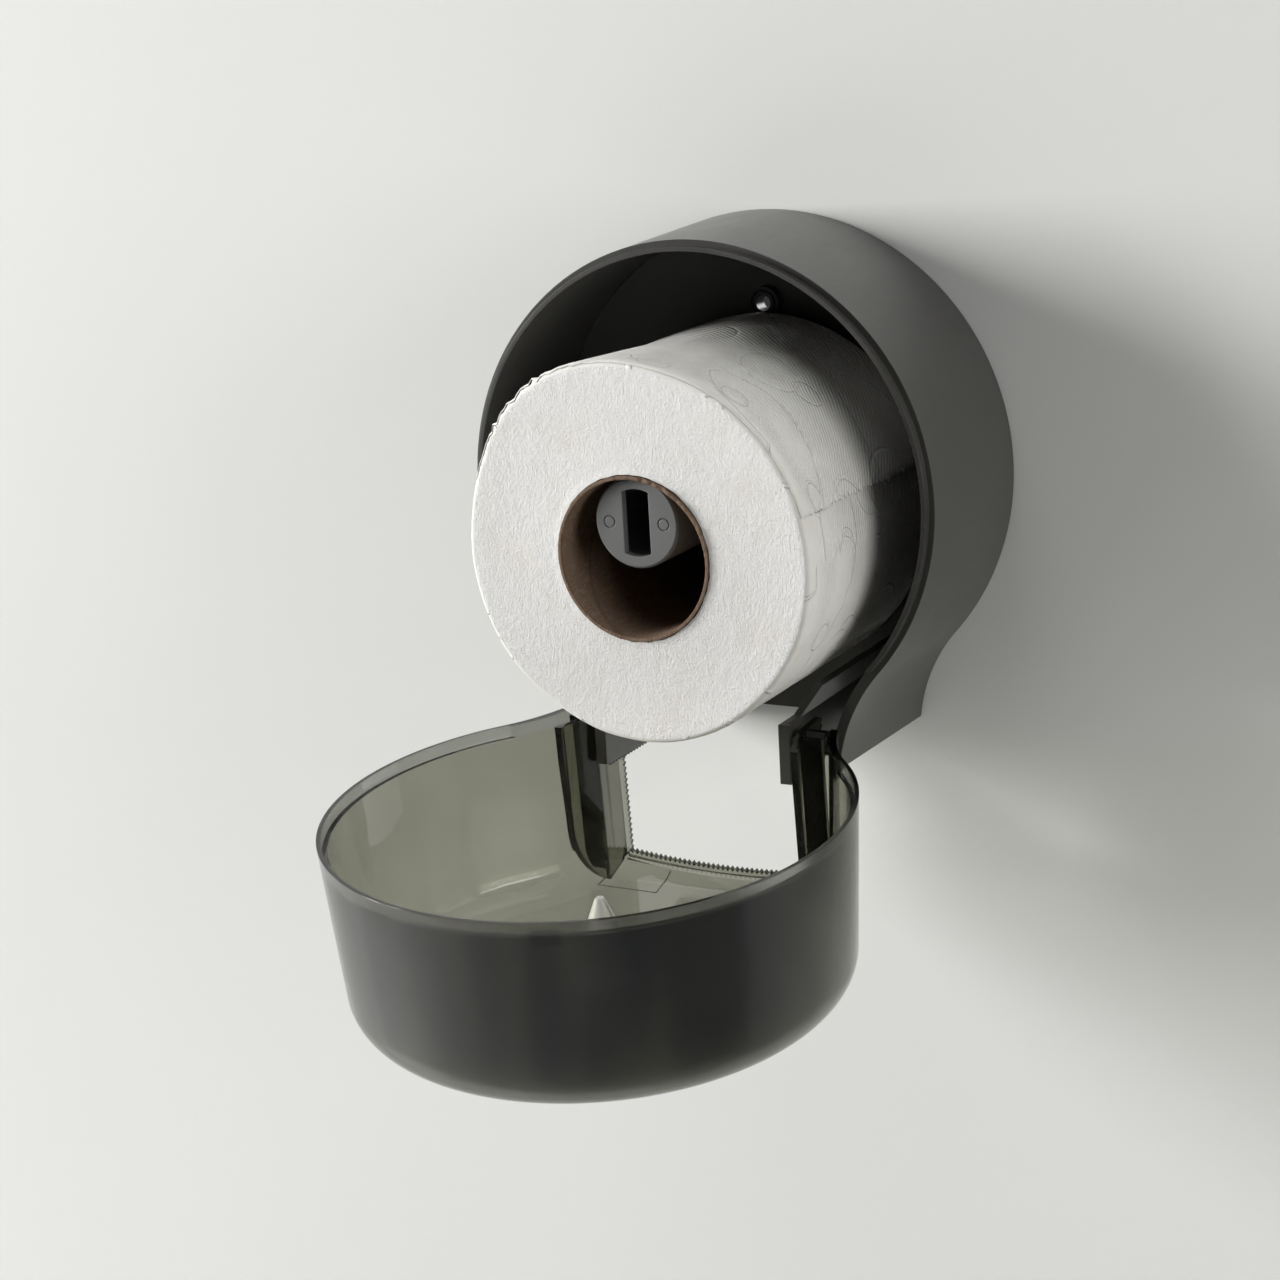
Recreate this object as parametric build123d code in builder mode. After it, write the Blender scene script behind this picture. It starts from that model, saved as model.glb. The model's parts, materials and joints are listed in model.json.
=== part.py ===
from build123d import *
import math
import os

os.makedirs("parts", exist_ok=True)

# Wall-mounted single toilet roll dispenser.
# Origin: the drum axis where it meets the wall. X along the wall, +Y into the wall, +Z up.

# Housing
wall_radius = 75.0
front_radius = 72.4
housing_depth = 55.3
housing_wall = 3.0
leg_half = 44.0
leg_half_front = 41.4
flare_radius = 50.0
leg_drop = 77.0
plate_thickness = 3.0
lip_height = 2.5
lip_wall = 1.3
lip_end = 47.0

# Housing chute walls
fin_half = 32.0
chute_gap = 4.0
chute_half = fin_half - chute_gap
chute_wall = 2.0
chute_drop = 79.4
chute_bend = 62.0
chute_lean = 7.2
chute_top_half = chute_half + chute_lean
chute_reach = 10.7
chute_nose = housing_depth + chute_reach
tooth_pitch = 1.8
tooth_height = 1.0

# Hinge and cover travel
hinge_setback = 3.7
hinge_y = -(housing_depth + hinge_setback)
hinge_z = -67.7
open_angle = 94.0
pin_radius = 1.5
running_gap = 0.05
spacer_play = 0.3

# Cover
cover_gap = 0.5
cover_depth = 55.0
cover_radius = 72.2
cover_front_radius = 68.8
cover_leg = 41.2
cover_leg_front = 39.4
cover_drop_front = 76.4
cover_wall = 2.3
cover_round = 12.0
fin_top_half = 36.5
fin_top = 50.0
fin_wall = 1.8
fin_bend = 62.0
fin_bead = 52.4
shelf_end = 40.5
shelf_wall = 1.6
mouth_half = fin_half + fin_wall
mouth_length = 49.7
mouth_reach = housing_depth + mouth_length
mouth_bow = 2.0
notch_reach = 6.7
leg_window_reach = 24.5

# Spindle and roll
spindle_radius = 12.7
spindle_end = 90.8
spindle_wall = 2.3
slot_width = 8.1
slot_height = 18.8
core_inner = 22.1
core_wall = 0.9
roll_radius = 53.1
roll_back = 6.0
roll_front = 94.2
roll_drop = core_inner - spindle_radius - running_gap
roll_clearance = 4.7584
chute_top = roll_drop + math.sqrt(roll_radius**2 - (chute_top_half + chute_wall) ** 2) + roll_clearance

# Catch
catch_tip = 83.2
catch_drop = 1.5

# Wall fixings: three screw bosses on one circle
boss_circle = 48.0
boss_height = 2.4
boss_radius = 4.9
screw_hole = 2.3


def flare_centre(radius, leg, flare):
    cx = leg + flare
    return cx, -math.sqrt((radius + flare) ** 2 - cx ** 2)


def keyhole(radius, leg, flare, drop):
    """Circle running through two concave flares into straight-bottomed legs."""
    cx, cz = flare_centre(radius, leg, flare)
    tx = cx * radius / (radius + flare)
    tz = cz * radius / (radius + flare)
    fx = cx - math.sqrt(flare ** 2 - (drop + cz) ** 2)
    start = math.atan2(tz - cz, tx - cx)
    end = math.atan2(-drop - cz, fx - cx)
    if end < start:
        end += 2 * math.pi
    mid = (start + end) / 2
    mx = cx + flare * math.cos(mid)
    mz = cz + flare * math.sin(mid)
    with BuildLine() as outline:
        ThreePointArc((-tx, tz), (0, radius), (tx, tz))
        ThreePointArc((tx, tz), (mx, mz), (fx, -drop))
        Line((fx, -drop), (-fx, -drop))
        ThreePointArc((-fx, -drop), (-mx, mz), (-tx, tz))
    make_face(outline.edges())


def swung(y, z):
    """Where a point of the shut cover lies once the cover hangs open."""
    turn = math.radians(open_angle)
    dy = y - hinge_y
    dz = z - hinge_z
    new_y = hinge_y + dy * math.cos(turn) - dz * math.sin(turn)
    new_z = hinge_z + dy * math.sin(turn) + dz * math.cos(turn)
    return new_y, new_z


def cover_plane(depth):
    """Plane across the cover, depth measured forward from the wall when shut."""
    turn = math.radians(open_angle)
    y, z = swung(-depth, 0)
    return Plane(origin=(0, y, z), x_dir=(1, 0, 0), z_dir=(0, -math.cos(turn), -math.sin(turn)))


def cover_side(x):
    """Plane along the cover at one x; its x runs forward and its y runs up when shut."""
    turn = math.radians(open_angle)
    y, z = swung(0, 0)
    forward = (0, -math.cos(turn), -math.sin(turn))
    return Plane(origin=(x, y, z), x_dir=forward, z_dir=(-1, 0, 0))


def cover_floor(drop):
    """Plane parallel to the underside of the shut cover; its y runs forward."""
    turn = math.radians(open_angle)
    y, z = swung(0, -drop)
    down = (0, math.sin(turn), -math.cos(turn))
    return Plane(origin=(0, y, z), x_dir=(1, 0, 0), z_dir=down)


def half_disc(radius, end):
    """Disc cut off below, used to stop the lips where the flares begin."""
    Circle(radius)
    with Locations((0, -end - 50)):
        Rectangle(200, 100, mode=Mode.SUBTRACT)


def saw_row(start, end, level, pitch, height):
    """Points of a toothed edge, the teeth standing below the level."""
    count = int(round((end - start) / pitch))
    step = (end - start) / count
    points = [(start, level)]
    for i in range(count):
        points.append((start + (i + 0.5) * step, level - height))
        points.append((start + (i + 1) * step, level))
    return points


# ---------------------------------------------------------------- housing
with BuildPart() as housing_shell:
    with BuildSketch(Plane.XZ):
        keyhole(wall_radius, leg_half, flare_radius, leg_drop)
    with BuildSketch(Plane.XZ.offset(housing_depth)):
        keyhole(front_radius, leg_half_front, flare_radius + 2.6, leg_drop)
    loft(ruled=True)
    with BuildSketch(Plane.XZ):
        keyhole(wall_radius - housing_wall, leg_half - housing_wall, flare_radius + housing_wall, leg_drop + 3)
    with BuildSketch(Plane.XZ.offset(housing_depth)):
        keyhole(front_radius - housing_wall, leg_half_front - housing_wall, flare_radius + 5.6, leg_drop + 3)
    loft(ruled=True, mode=Mode.SUBTRACT)
    with BuildSketch(Plane.XZ.offset(housing_depth - 4)):
        half_disc(front_radius - housing_wall + lip_wall, lip_end)
    extrude(amount=4 + lip_height)
    with BuildSketch(Plane.XZ.offset(housing_depth - 5)):
        half_disc(front_radius - housing_wall, lip_end + 5)
    extrude(amount=6 + lip_height, mode=Mode.SUBTRACT)

with BuildPart() as back_plate:
    with BuildSketch(Plane.XZ):
        keyhole(wall_radius - housing_wall, leg_half - housing_wall, flare_radius + housing_wall, leg_drop + 3)
    with BuildSketch(Plane.XZ.offset(housing_depth)):
        keyhole(front_radius - housing_wall, leg_half_front - housing_wall, flare_radius + 5.6, leg_drop + 3)
    loft(ruled=True)
    with BuildSketch(Plane.XZ):
        with Locations((0, 100 - leg_drop)):
            Rectangle(200, 200)
    extrude(amount=plate_thickness, mode=Mode.INTERSECT)
    with BuildSketch(Plane.XZ.offset(plate_thickness)):
        with PolarLocations(boss_circle, 3, start_angle=90):
            Circle(boss_radius)
    extrude(amount=boss_height)
    with BuildSketch(Plane.XZ.offset(plate_thickness + boss_height)):
        with PolarLocations(boss_circle, 3, start_angle=90):
            Circle(boss_radius - 0.9)
            Circle(screw_hole + 1.1, mode=Mode.SUBTRACT)
    extrude(amount=-1.0, mode=Mode.SUBTRACT)
    with BuildSketch(Plane.XZ):
        with PolarLocations(boss_circle, 3, start_angle=90):
            Circle(screw_hole)
    extrude(amount=20, mode=Mode.SUBTRACT)


def chute(side):
    """One wall of the paper chute, carried forward past the drum to hold the hinge."""
    outer = chute_half + chute_wall
    with BuildSketch(Plane.XZ.offset(plate_thickness)) as shape:
        Polygon(
            (side * chute_half, -chute_drop),
            (side * outer, -chute_drop),
            (side * outer, -chute_bend - 0.6),
            (side * (chute_top_half + chute_wall), -chute_top - 0.6),
            (side * chute_top_half, -chute_top),
            (side * chute_half, -chute_bend),
            align=None,
        )
    extrude(shape.sketch, amount=housing_depth - plate_thickness)
    with BuildSketch(Plane.XZ.offset(housing_depth)) as shape:
        Polygon(
            (side * chute_half, -chute_drop),
            (side * outer, -chute_drop),
            (side * outer, -chute_bend),
            (side * chute_half, -chute_bend),
            align=None,
        )
    extrude(shape.sketch, amount=chute_nose - housing_depth)
    with BuildSketch(Plane.XZ.offset(chute_nose - 1.6)) as shape:
        Polygon(
            (side * chute_half, -chute_drop),
            (side * (outer + 1.4), -chute_drop),
            (side * (outer + 1.4), -chute_bend),
            (side * chute_half, -chute_bend),
            align=None,
        )
    extrude(shape.sketch, amount=1.6)
    with BuildSketch(Plane.YZ.offset(side * (chute_half + outer) / 2)) as shape:
        Polygon(
            (-chute_nose + 2, -chute_drop + 1),
            *saw_row(-chute_nose + 2, -plate_thickness, -chute_drop, tooth_pitch, tooth_height),
            (-plate_thickness, -chute_drop + 1),
            align=None,
        )
    extrude(shape.sketch, amount=chute_wall / 2, both=True)
    with BuildSketch(Plane.YZ.offset(side * chute_half)) as shape:
        with Locations((hinge_y, hinge_z)):
            Circle(pin_radius)
    extrude(shape.sketch, amount=side * 6, both=True, mode=Mode.SUBTRACT)


with BuildPart() as chute_left:
    chute(-1)

with BuildPart() as chute_right:
    chute(1)


# ---------------------------------------------------------------- spindle
with BuildPart() as spindle:
    with BuildSketch(Plane.XZ.offset(plate_thickness)):
        Circle(20)
    extrude(amount=2.0)
    with BuildSketch(Plane.XZ.offset(plate_thickness)):
        Circle(spindle_radius)
    extrude(amount=spindle_end - plate_thickness)
    chamfer(spindle.faces().sort_by(Axis.Y)[0].outer_wire().edges(), 0.6)
    with BuildSketch(Plane.XZ.offset(plate_thickness)):
        Circle(spindle_radius - spindle_wall)
    extrude(amount=spindle_end - plate_thickness - 2.4, mode=Mode.SUBTRACT)
    with BuildSketch(Plane.XZ.offset(spindle_end)):
        Circle(slot_height / 2)
        Rectangle(slot_width, slot_height, mode=Mode.INTERSECT)
    extrude(amount=-5, mode=Mode.SUBTRACT)
    with BuildSketch(Plane.XZ.offset(spindle_end)):
        with Locations((-8.3, 0), (8.3, 0)):
            Circle(1.8)
            Circle(1.45, mode=Mode.SUBTRACT)
    extrude(amount=-0.3, mode=Mode.SUBTRACT)
    with BuildSketch(Plane.XZ.offset(plate_thickness)):
        with Locations((-16.4, 0), (16.4, 0)):
            Circle(1.6)
    extrude(amount=2.0, mode=Mode.SUBTRACT)


def flat_screw(x):
    """Flat-headed screw holding the spindle flange to the back plate."""
    with BuildSketch(Plane.XZ.offset(plate_thickness + 2.0)) as shape:
        with Locations((x, 0)):
            Circle(3.0)
    extrude(shape.sketch, amount=0.8)
    with BuildSketch(Plane.XZ.offset(plate_thickness)) as shape:
        with Locations((x, 0)):
            Circle(1.55)
    extrude(shape.sketch, amount=2.0)
    with BuildSketch(Plane.XZ.offset(plate_thickness + 2.8)) as shape:
        with Locations((x, 0)):
            Rectangle(3.6, 0.7)
            Rectangle(0.7, 3.6)
    extrude(shape.sketch, amount=-0.5, mode=Mode.SUBTRACT)


with BuildPart() as spindle_screw_left:
    flat_screw(-16.4)

with BuildPart() as spindle_screw_right:
    flat_screw(16.4)


# ---------------------------------------------------------------- hinge
def hinge_pin(side):
    """Headed pin pressed through the chute wall, the cover turns on its free end."""
    with BuildSketch(Plane.YZ.offset(side * (chute_half - 0.8))) as shape:
        with Locations((hinge_y, hinge_z)):
            Circle(2.6)
    extrude(shape.sketch, amount=side * 0.8)
    with BuildSketch(Plane.YZ.offset(side * chute_half)) as shape:
        with Locations((hinge_y, hinge_z)):
            Circle(pin_radius)
    extrude(shape.sketch, amount=side * 11.0)


def hinge_spacer(side):
    """Nylon spacer between chute wall and cover fin."""
    with BuildSketch(Plane.YZ.offset(side * (chute_half + chute_wall))) as shape:
        with Locations((hinge_y, hinge_z)):
            Circle(2.8)
            Circle(pin_radius, mode=Mode.SUBTRACT)
    extrude(shape.sketch, amount=side * (chute_gap - chute_wall - spacer_play))


with BuildPart() as hinge_pin_left:
    hinge_pin(-1)

with BuildPart() as hinge_pin_right:
    hinge_pin(1)

with BuildPart() as hinge_spacer_left:
    hinge_spacer(-1)

with BuildPart() as hinge_spacer_right:
    hinge_spacer(1)


# ---------------------------------------------------------------- cover
cover_back = housing_depth + cover_gap
cover_front = cover_back + cover_depth

with BuildPart() as cover_inside:
    with BuildSketch(cover_plane(cover_back - 0.01)):
        keyhole(cover_radius - cover_wall, cover_leg - cover_wall, flare_radius + 4.9, leg_drop - cover_wall)
    with BuildSketch(cover_plane(cover_front - cover_wall)):
        keyhole(
            cover_front_radius - cover_wall,
            cover_leg_front - cover_wall,
            flare_radius + 6.7,
            cover_drop_front - cover_wall,
        )
    loft(ruled=True)
    inner_face = cover_inside.faces().sort_by(Axis.Z)[0]
    fillet(inner_face.outer_wire().edges(), cover_round - cover_wall)

with BuildPart() as cover_shell:
    with BuildSketch(cover_plane(cover_back)):
        keyhole(cover_radius, cover_leg, flare_radius + 2.6, leg_drop)
    with BuildSketch(cover_plane(cover_front)):
        keyhole(cover_front_radius, cover_leg_front, flare_radius + 4.4, cover_drop_front)
    loft(ruled=True)
    outer_face = cover_shell.faces().sort_by(Axis.Z)[0]
    fillet(outer_face.outer_wire().edges(), cover_round)
    add(cover_inside.part, mode=Mode.SUBTRACT)
    with BuildSketch(cover_plane(cover_back)):
        half_disc(front_radius - housing_wall + lip_wall + 0.35, lip_end + 1)
    extrude(amount=lip_height + 1.0, mode=Mode.SUBTRACT)
    with BuildSketch(cover_floor(leg_drop + 2)):
        with BuildLine():
            Polyline((-mouth_half, cover_back - 2), (mouth_half, cover_back - 2), (mouth_half, mouth_reach))
            ThreePointArc((mouth_half, mouth_reach), (0, mouth_reach + mouth_bow), (-mouth_half, mouth_reach))
            Line((-mouth_half, mouth_reach), (-mouth_half, cover_back - 2))
        make_face()
    extrude(amount=-12, mode=Mode.SUBTRACT)
    with BuildSketch(cover_floor(leg_drop + 2)):
        with Locations((-42, housing_depth + notch_reach), (42, housing_depth + notch_reach)):
            Rectangle(8.8, 15)
    extrude(amount=-9.9, mode=Mode.SUBTRACT)
    with BuildSketch(cover_floor(leg_drop + 2)):
        with Locations((-36.4, housing_depth + leg_window_reach), (36.4, housing_depth + leg_window_reach)):
            Rectangle(5.2, 50.6)
    extrude(amount=-4.4, mode=Mode.SUBTRACT)
    with BuildSketch(cover_plane(cover_front - cover_wall)):
        Polygon((-34, -57.3), (-14, -57.3), (-16.5, -74), (-34, -74), align=None)
        Polygon((-33.7, -57.6), (-14.4, -57.6), (-16.8, -73.7), (-33.7, -73.7), align=None, mode=Mode.SUBTRACT)
    extrude(amount=0.15, mode=Mode.SUBTRACT)
    with BuildSketch(Plane.YZ.offset(-39.3)):
        with Locations((hinge_y, hinge_z)):
            Circle(pin_radius + running_gap)
    extrude(amount=78.6, mode=Mode.SUBTRACT)


def fin(side):
    """Guide wall rising from the edge of the cover's mouth, its free edge curving down to the front."""
    low = fin_half * side
    high = fin_top_half * side
    grow = fin_wall * side
    with BuildSketch(cover_plane(cover_back)) as shape:
        Polygon(
            (low, -leg_drop - 2),
            (low + grow, -leg_drop - 2),
            (low + grow, -fin_bend),
            (high + grow - 0.7 * side, -fin_bead),
            (high + grow, -fin_bead),
            (high + grow + 0.3 * side, -fin_top),
            (high, -fin_top),
            (low, -fin_bend),
            align=None,
        )
    extrude(shape.sketch, amount=cover_depth - cover_wall)
    back = cover_back
    front = cover_front - cover_wall
    with BuildSketch(cover_side(0)) as shape:
        with BuildLine() as edge:
            Polyline(*saw_row(back, mouth_reach, -leg_drop, tooth_pitch, tooth_height))
            Line((mouth_reach, -leg_drop), (mouth_reach, -leg_drop + cover_wall))
            Line((mouth_reach, -leg_drop + cover_wall), (front, -62))
            ThreePointArc((front, -62), (mouth_reach - 4.5, -54.6), (mouth_reach - 19, -51))
            Polyline((mouth_reach - 19, -51), (back, -fin_top + 0.5), (back, -leg_drop))
        make_face(edge.edges())
    extrude(shape.sketch, amount=60, both=True, mode=Mode.INTERSECT)
    with BuildSketch(cover_plane(cover_back + 0.9)) as shape:
        Polygon(
            (low + grow / 2, -fin_bend - shelf_wall),
            (shelf_end * side, -fin_bend - shelf_wall),
            (shelf_end * side, -fin_bend),
            (low + grow / 2, -fin_bend),
            align=None,
        )
    extrude(shape.sketch, amount=mouth_reach - cover_back - 0.9)
    with BuildSketch(Plane.YZ.offset(side * (fin_half + fin_wall / 2))) as shape:
        with Locations((hinge_y, hinge_z)):
            Circle(3.0)
    extrude(shape.sketch, amount=side * 7.0)
    with BuildSketch(Plane.YZ) as shape:
        with Locations((hinge_y, hinge_z)):
            Circle(pin_radius + running_gap)
    extrude(shape.sketch, amount=side * 60, mode=Mode.SUBTRACT)
    add(cover_shell.part, mode=Mode.SUBTRACT)


with BuildPart() as fin_left:
    fin(-1)

with BuildPart() as fin_right:
    fin(1)


def tear_edge_outline():
    """Toothed strip along the front of the mouth, seen from below."""
    with BuildLine() as edge:
        ThreePointArc(
            (fin_half, mouth_reach + 2.4), (0, mouth_reach + mouth_bow + 2.4), (-fin_half, mouth_reach + 2.4)
        )
        Line((-fin_half, mouth_reach + 2.4), (-fin_half, mouth_reach - 0.4))
        points = []
        count = 40
        for i in range(2 * count + 1):
            x = -fin_half + i * fin_half / count
            bow = mouth_bow * (1 - (x / fin_half) ** 2)
            reach = 0.4 if i % 2 == 0 else 1.6
            points.append((x, mouth_reach + bow - reach))
        Polyline(*points)
        Line((fin_half, mouth_reach - 0.4), (fin_half, mouth_reach + 2.4))
    make_face(edge.edges())


with BuildPart() as tear_edge:
    with BuildSketch(cover_floor(leg_drop - cover_wall - 1.0)):
        tear_edge_outline()
    extrude(amount=2.0)
    add(cover_shell.part, mode=Mode.SUBTRACT)

with BuildPart() as catch_base:
    with BuildSketch(cover_plane(cover_front - cover_wall)):
        with Locations((0, -catch_drop)):
            Circle(7.0)
    extrude(amount=-2.0)
    with BuildSketch(cover_plane(cover_front - cover_wall - 2.0)):
        with Locations((0, -catch_drop)):
            Circle(5.2)
    extrude(amount=-4.0)
    with BuildSketch(cover_plane(cover_front - cover_wall)):
        with Locations((0, -catch_drop)):
            Circle(2.2)
    extrude(amount=-6.0, mode=Mode.SUBTRACT)

with BuildPart() as catch_stud:
    stem = cover_front - cover_wall
    with BuildSketch(cover_plane(stem)):
        with Locations((0, -catch_drop)):
            Circle(2.2)
    extrude(amount=-6.0)
    with BuildSketch(cover_plane(stem - 6.0)):
        with Locations((0, -catch_drop)):
            Circle(4.6)
    with BuildSketch(cover_plane(catch_tip + 6.0)):
        with Locations((0, -catch_drop)):
            Circle(3.5)
    loft()
    with BuildSketch(cover_plane(catch_tip + 6.0)):
        with Locations((0, -catch_drop)):
            Circle(3.7)
    with BuildSketch(cover_plane(catch_tip)):
        with Locations((0, -catch_drop)):
            Circle(1.3)
    loft()
    with BuildSketch(cover_plane(catch_tip)):
        with Locations((0, -catch_drop)):
            Rectangle(9, 1.0)
    extrude(amount=9, mode=Mode.SUBTRACT)


def rim_tab(side):
    """Small snap tab inside the rim that grips the housing lip."""
    inner = cover_radius - cover_wall
    with BuildSketch(cover_plane(cover_back + lip_height + 1.2)) as shape:
        with Locations((side * 24.0, math.sqrt(inner ** 2 - 24.0 ** 2) - 1.0)):
            Rectangle(7.0, 3.4, rotation=side * -20)
    extrude(shape.sketch, amount=3.0)
    add(cover_shell.part, mode=Mode.SUBTRACT)


with BuildPart() as rim_tab_left:
    rim_tab(-1)

with BuildPart() as rim_tab_right:
    rim_tab(1)


# ---------------------------------------------------------------- roll
with BuildPart() as core_tube:
    with BuildSketch(Plane.XZ.offset(roll_back)):
        with Locations((0, -roll_drop)):
            Circle(core_inner + core_wall)
            Circle(core_inner, mode=Mode.SUBTRACT)
    extrude(amount=roll_front - roll_back)

with BuildPart() as paper_roll:
    with BuildSketch(Plane.XZ.offset(roll_back)):
        with Locations((0, -roll_drop)):
            Circle(roll_radius)
            Circle(core_inner + core_wall, mode=Mode.SUBTRACT)
    extrude(amount=roll_front - roll_back)


housing_shell.part.label = "housing_shell"
back_plate.part.label = "back_plate"
chute_left.part.label = "chute_left"
chute_right.part.label = "chute_right"
spindle.part.label = "spindle"
spindle_screw_left.part.label = "spindle_screw_left"
spindle_screw_right.part.label = "spindle_screw_right"
hinge_pin_left.part.label = "hinge_pin_left"
hinge_pin_right.part.label = "hinge_pin_right"
hinge_spacer_left.part.label = "hinge_spacer_left"
hinge_spacer_right.part.label = "hinge_spacer_right"
cover_shell.part.label = "cover_shell"
fin_left.part.label = "fin_left"
fin_right.part.label = "fin_right"
tear_edge.part.label = "tear_edge"
catch_base.part.label = "catch_base"
catch_stud.part.label = "catch_stud"
rim_tab_left.part.label = "rim_tab_left"
rim_tab_right.part.label = "rim_tab_right"
core_tube.part.label = "core_tube"
paper_roll.part.label = "paper_roll"

export_step(housing_shell.part, "parts/housing_shell.step")
export_step(back_plate.part, "parts/back_plate.step")
export_step(chute_left.part, "parts/chute_left.step")
export_step(chute_right.part, "parts/chute_right.step")
export_step(spindle.part, "parts/spindle.step")
export_step(spindle_screw_left.part, "parts/spindle_screw_left.step")
export_step(spindle_screw_right.part, "parts/spindle_screw_right.step")
export_step(hinge_pin_left.part, "parts/hinge_pin_left.step")
export_step(hinge_pin_right.part, "parts/hinge_pin_right.step")
export_step(hinge_spacer_left.part, "parts/hinge_spacer_left.step")
export_step(hinge_spacer_right.part, "parts/hinge_spacer_right.step")
export_step(cover_shell.part, "parts/cover_shell.step")
export_step(fin_left.part, "parts/fin_left.step")
export_step(fin_right.part, "parts/fin_right.step")
export_step(tear_edge.part, "parts/tear_edge.step")
export_step(catch_base.part, "parts/catch_base.step")
export_step(catch_stud.part, "parts/catch_stud.step")
export_step(rim_tab_left.part, "parts/rim_tab_left.step")
export_step(rim_tab_right.part, "parts/rim_tab_right.step")
export_step(core_tube.part, "parts/core_tube.step")
export_step(paper_roll.part, "parts/paper_roll.step")
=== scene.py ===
import json
import math

import bpy
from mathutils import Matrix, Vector, noise


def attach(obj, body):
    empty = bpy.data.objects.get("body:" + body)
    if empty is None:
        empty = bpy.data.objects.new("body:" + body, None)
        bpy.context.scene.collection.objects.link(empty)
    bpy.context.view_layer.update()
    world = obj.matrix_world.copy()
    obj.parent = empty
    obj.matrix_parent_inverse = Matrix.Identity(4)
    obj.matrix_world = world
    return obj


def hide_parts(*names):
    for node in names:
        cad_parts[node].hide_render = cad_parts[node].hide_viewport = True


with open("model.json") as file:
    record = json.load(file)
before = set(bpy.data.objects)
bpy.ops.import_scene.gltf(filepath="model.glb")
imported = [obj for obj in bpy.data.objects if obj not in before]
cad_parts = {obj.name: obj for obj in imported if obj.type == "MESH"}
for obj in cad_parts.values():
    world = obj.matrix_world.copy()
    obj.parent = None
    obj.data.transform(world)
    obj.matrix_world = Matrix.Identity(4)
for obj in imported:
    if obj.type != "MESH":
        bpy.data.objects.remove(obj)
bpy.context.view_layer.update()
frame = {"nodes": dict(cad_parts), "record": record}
cad_nodes = frame["nodes"]

# Roll, in metres
ROLL_Z = -0.00935
ROLL_RADIUS = 0.0521
ROLL_BACK = -0.0063
ROLL_FRONT = -0.0936
CORE_RADIUS = 0.0232
CORE_FRONT = -0.0942
RIM_ROUND = 0.0016
PLY = 0.00016
# The loose ply stays inside this radius, so it passes the chutes as the roll turns
CHUTE_REACH = 0.0549
# Middle of the open cover's rim
BOWL_CENTRE = (0.0, -0.1266, -0.0691)
# Height of the open cover's rim plane carried on to the wall; the plane leans 4 degrees
RIM_AT_ZERO = -0.06038


# ---------------------------------------------------------------- shader helpers
def place(tree, kind, inputs=None, **settings):
    """Adds one node, sets its settings and its input values or links."""
    node = tree.nodes.new(kind)
    for name, value in settings.items():
        setattr(node, name, value)
    for name, value in (inputs or {}).items():
        if isinstance(value, bpy.types.NodeSocket):
            tree.links.new(value, node.inputs[name])
        else:
            node.inputs[name].default_value = value
    return node


def math_of(tree, operation, first, second=0.0, third=0.0):
    node = place(tree, "ShaderNodeMath", {0: first, 1: second, 2: third}, operation=operation)
    return node.outputs[0]


def vector_of(tree, operation, first, second=(0, 0, 0)):
    return place(tree, "ShaderNodeVectorMath", {0: first, 1: second}, operation=operation)


def blend_colour(tree, share, first, second):
    """Colour mix of two colours by a share."""
    node = place(tree, "ShaderNodeMix", data_type="RGBA")
    for socket, value in ((node.inputs[0], share), (node.inputs[6], first), (node.inputs[7], second)):
        if isinstance(value, bpy.types.NodeSocket):
            tree.links.new(value, socket)
        else:
            socket.default_value = value
    return node.outputs[2]


def remap(tree, value, low, high, new_low, new_high):
    """Smooth change from one range of values to another."""
    inputs = {"Value": value, "From Min": low, "From Max": high, "To Min": new_low, "To Max": new_high}
    return place(tree, "ShaderNodeMapRange", inputs, interpolation_type="SMOOTHSTEP").outputs[0]


def noise_of(tree, vector, scale, detail=3.0, roughness=0.5):
    inputs = {"Vector": vector, "Scale": scale, "Detail": detail, "Roughness": roughness}
    return place(tree, "ShaderNodeTexNoise", inputs).outputs["Fac"]


def object_spot(tree):
    """Coordinates fixed to the object, in metres."""
    return tree.nodes.new("ShaderNodeTexCoord").outputs["Object"]


def stretched(tree, vector, scales):
    """Coordinates scaled by a different amount on each axis."""
    return vector_of(tree, "MULTIPLY", vector, scales).outputs[0]


def add_relief(tree, shader, strength, distance, height):
    """Bump on a shader's normal."""
    bump = place(tree, "ShaderNodeBump", {"Strength": strength, "Distance": distance, "Height": height})
    tree.links.new(bump.outputs[0], shader.inputs["Normal"])


def new_group(name, inputs, outputs):
    """Node group with named inputs (name, kind, value) and outputs (name, kind)."""
    group = bpy.data.node_groups.new(name, "ShaderNodeTree")
    for title, kind, value in inputs:
        socket = group.interface.new_socket(title, in_out="INPUT", socket_type=kind)
        if value is not None:
            socket.default_value = value
    for title, kind in outputs:
        group.interface.new_socket(title, in_out="OUTPUT", socket_type=kind)
    return group, group.nodes.new("NodeGroupInput"), group.nodes.new("NodeGroupOutput")


def use_group(tree, group, **inputs):
    node = tree.nodes.new("ShaderNodeGroup")
    node.node_tree = group
    for name, value in inputs.items():
        socket = node.inputs[name.replace("_", " ")]
        if isinstance(value, bpy.types.NodeSocket):
            tree.links.new(value, socket)
        else:
            socket.default_value = value
    return node


def new_finish(name, **constants):
    """Material with one Principled shader; constants are set on its sockets."""
    material = bpy.data.materials.new(name)
    material.use_nodes = True
    tree = material.node_tree
    tree.nodes.clear()
    shader = tree.nodes.new("ShaderNodeBsdfPrincipled")
    output = tree.nodes.new("ShaderNodeOutputMaterial")
    tree.links.new(shader.outputs[0], output.inputs["Surface"])
    for title, value in constants.items():
        shader.inputs[title.replace("_", " ")].default_value = value
    return material, tree, shader


FLOAT, COLOUR, VECTOR = "NodeSocketFloat", "NodeSocketColor", "NodeSocketVector"


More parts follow.
